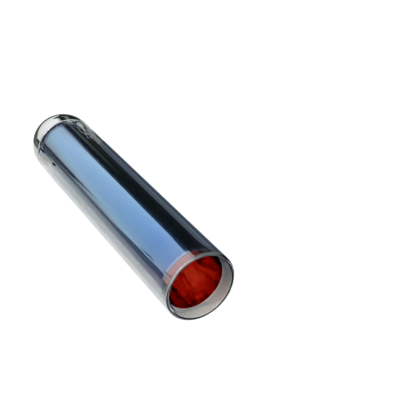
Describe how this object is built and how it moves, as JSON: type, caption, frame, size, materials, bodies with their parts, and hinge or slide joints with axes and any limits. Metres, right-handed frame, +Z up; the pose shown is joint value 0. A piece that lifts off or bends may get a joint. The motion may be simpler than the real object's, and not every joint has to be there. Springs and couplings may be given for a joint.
{
  "type": "evacuated solar tube",
  "caption": "Short double-walled glass vacuum tube with a blue absorber film, silvered closed end and open flared mouth, lying on its side.",
  "frame": {"origin": "on the ground under the middle of the lying tube: centre of the bounding box in X and Y, lowest point in Z", "axes": "+Y along the tube's axis from the open mouth to the exhaust tip, +Z up, +X to the right when looking from the mouth toward the tip"},
  "size_m": [0.058, 0.298, 0.058],
  "materials": {
    "outer_glass": "polished clear borosilicate",
    "inner_glass": "polished clear borosilicate",
    "absorber": "sputtered selective film, blue toward the sun and copper red toward the bore",
    "getter_film": "evaporated barium mirror",
    "spring_steel": "bright rolled stainless strip",
    "getter_steel": "dull after firing"
  },
  "bodies": {
    "root": {"outer_glass_tube": "outer_glass", "inner_glass_tube": "inner_glass", "absorber_coating": "absorber", "getter_mirror": "getter_film", "support_clip": "spring_steel", "getter_ring": "getter_steel"}
  },
  "joints": []
}
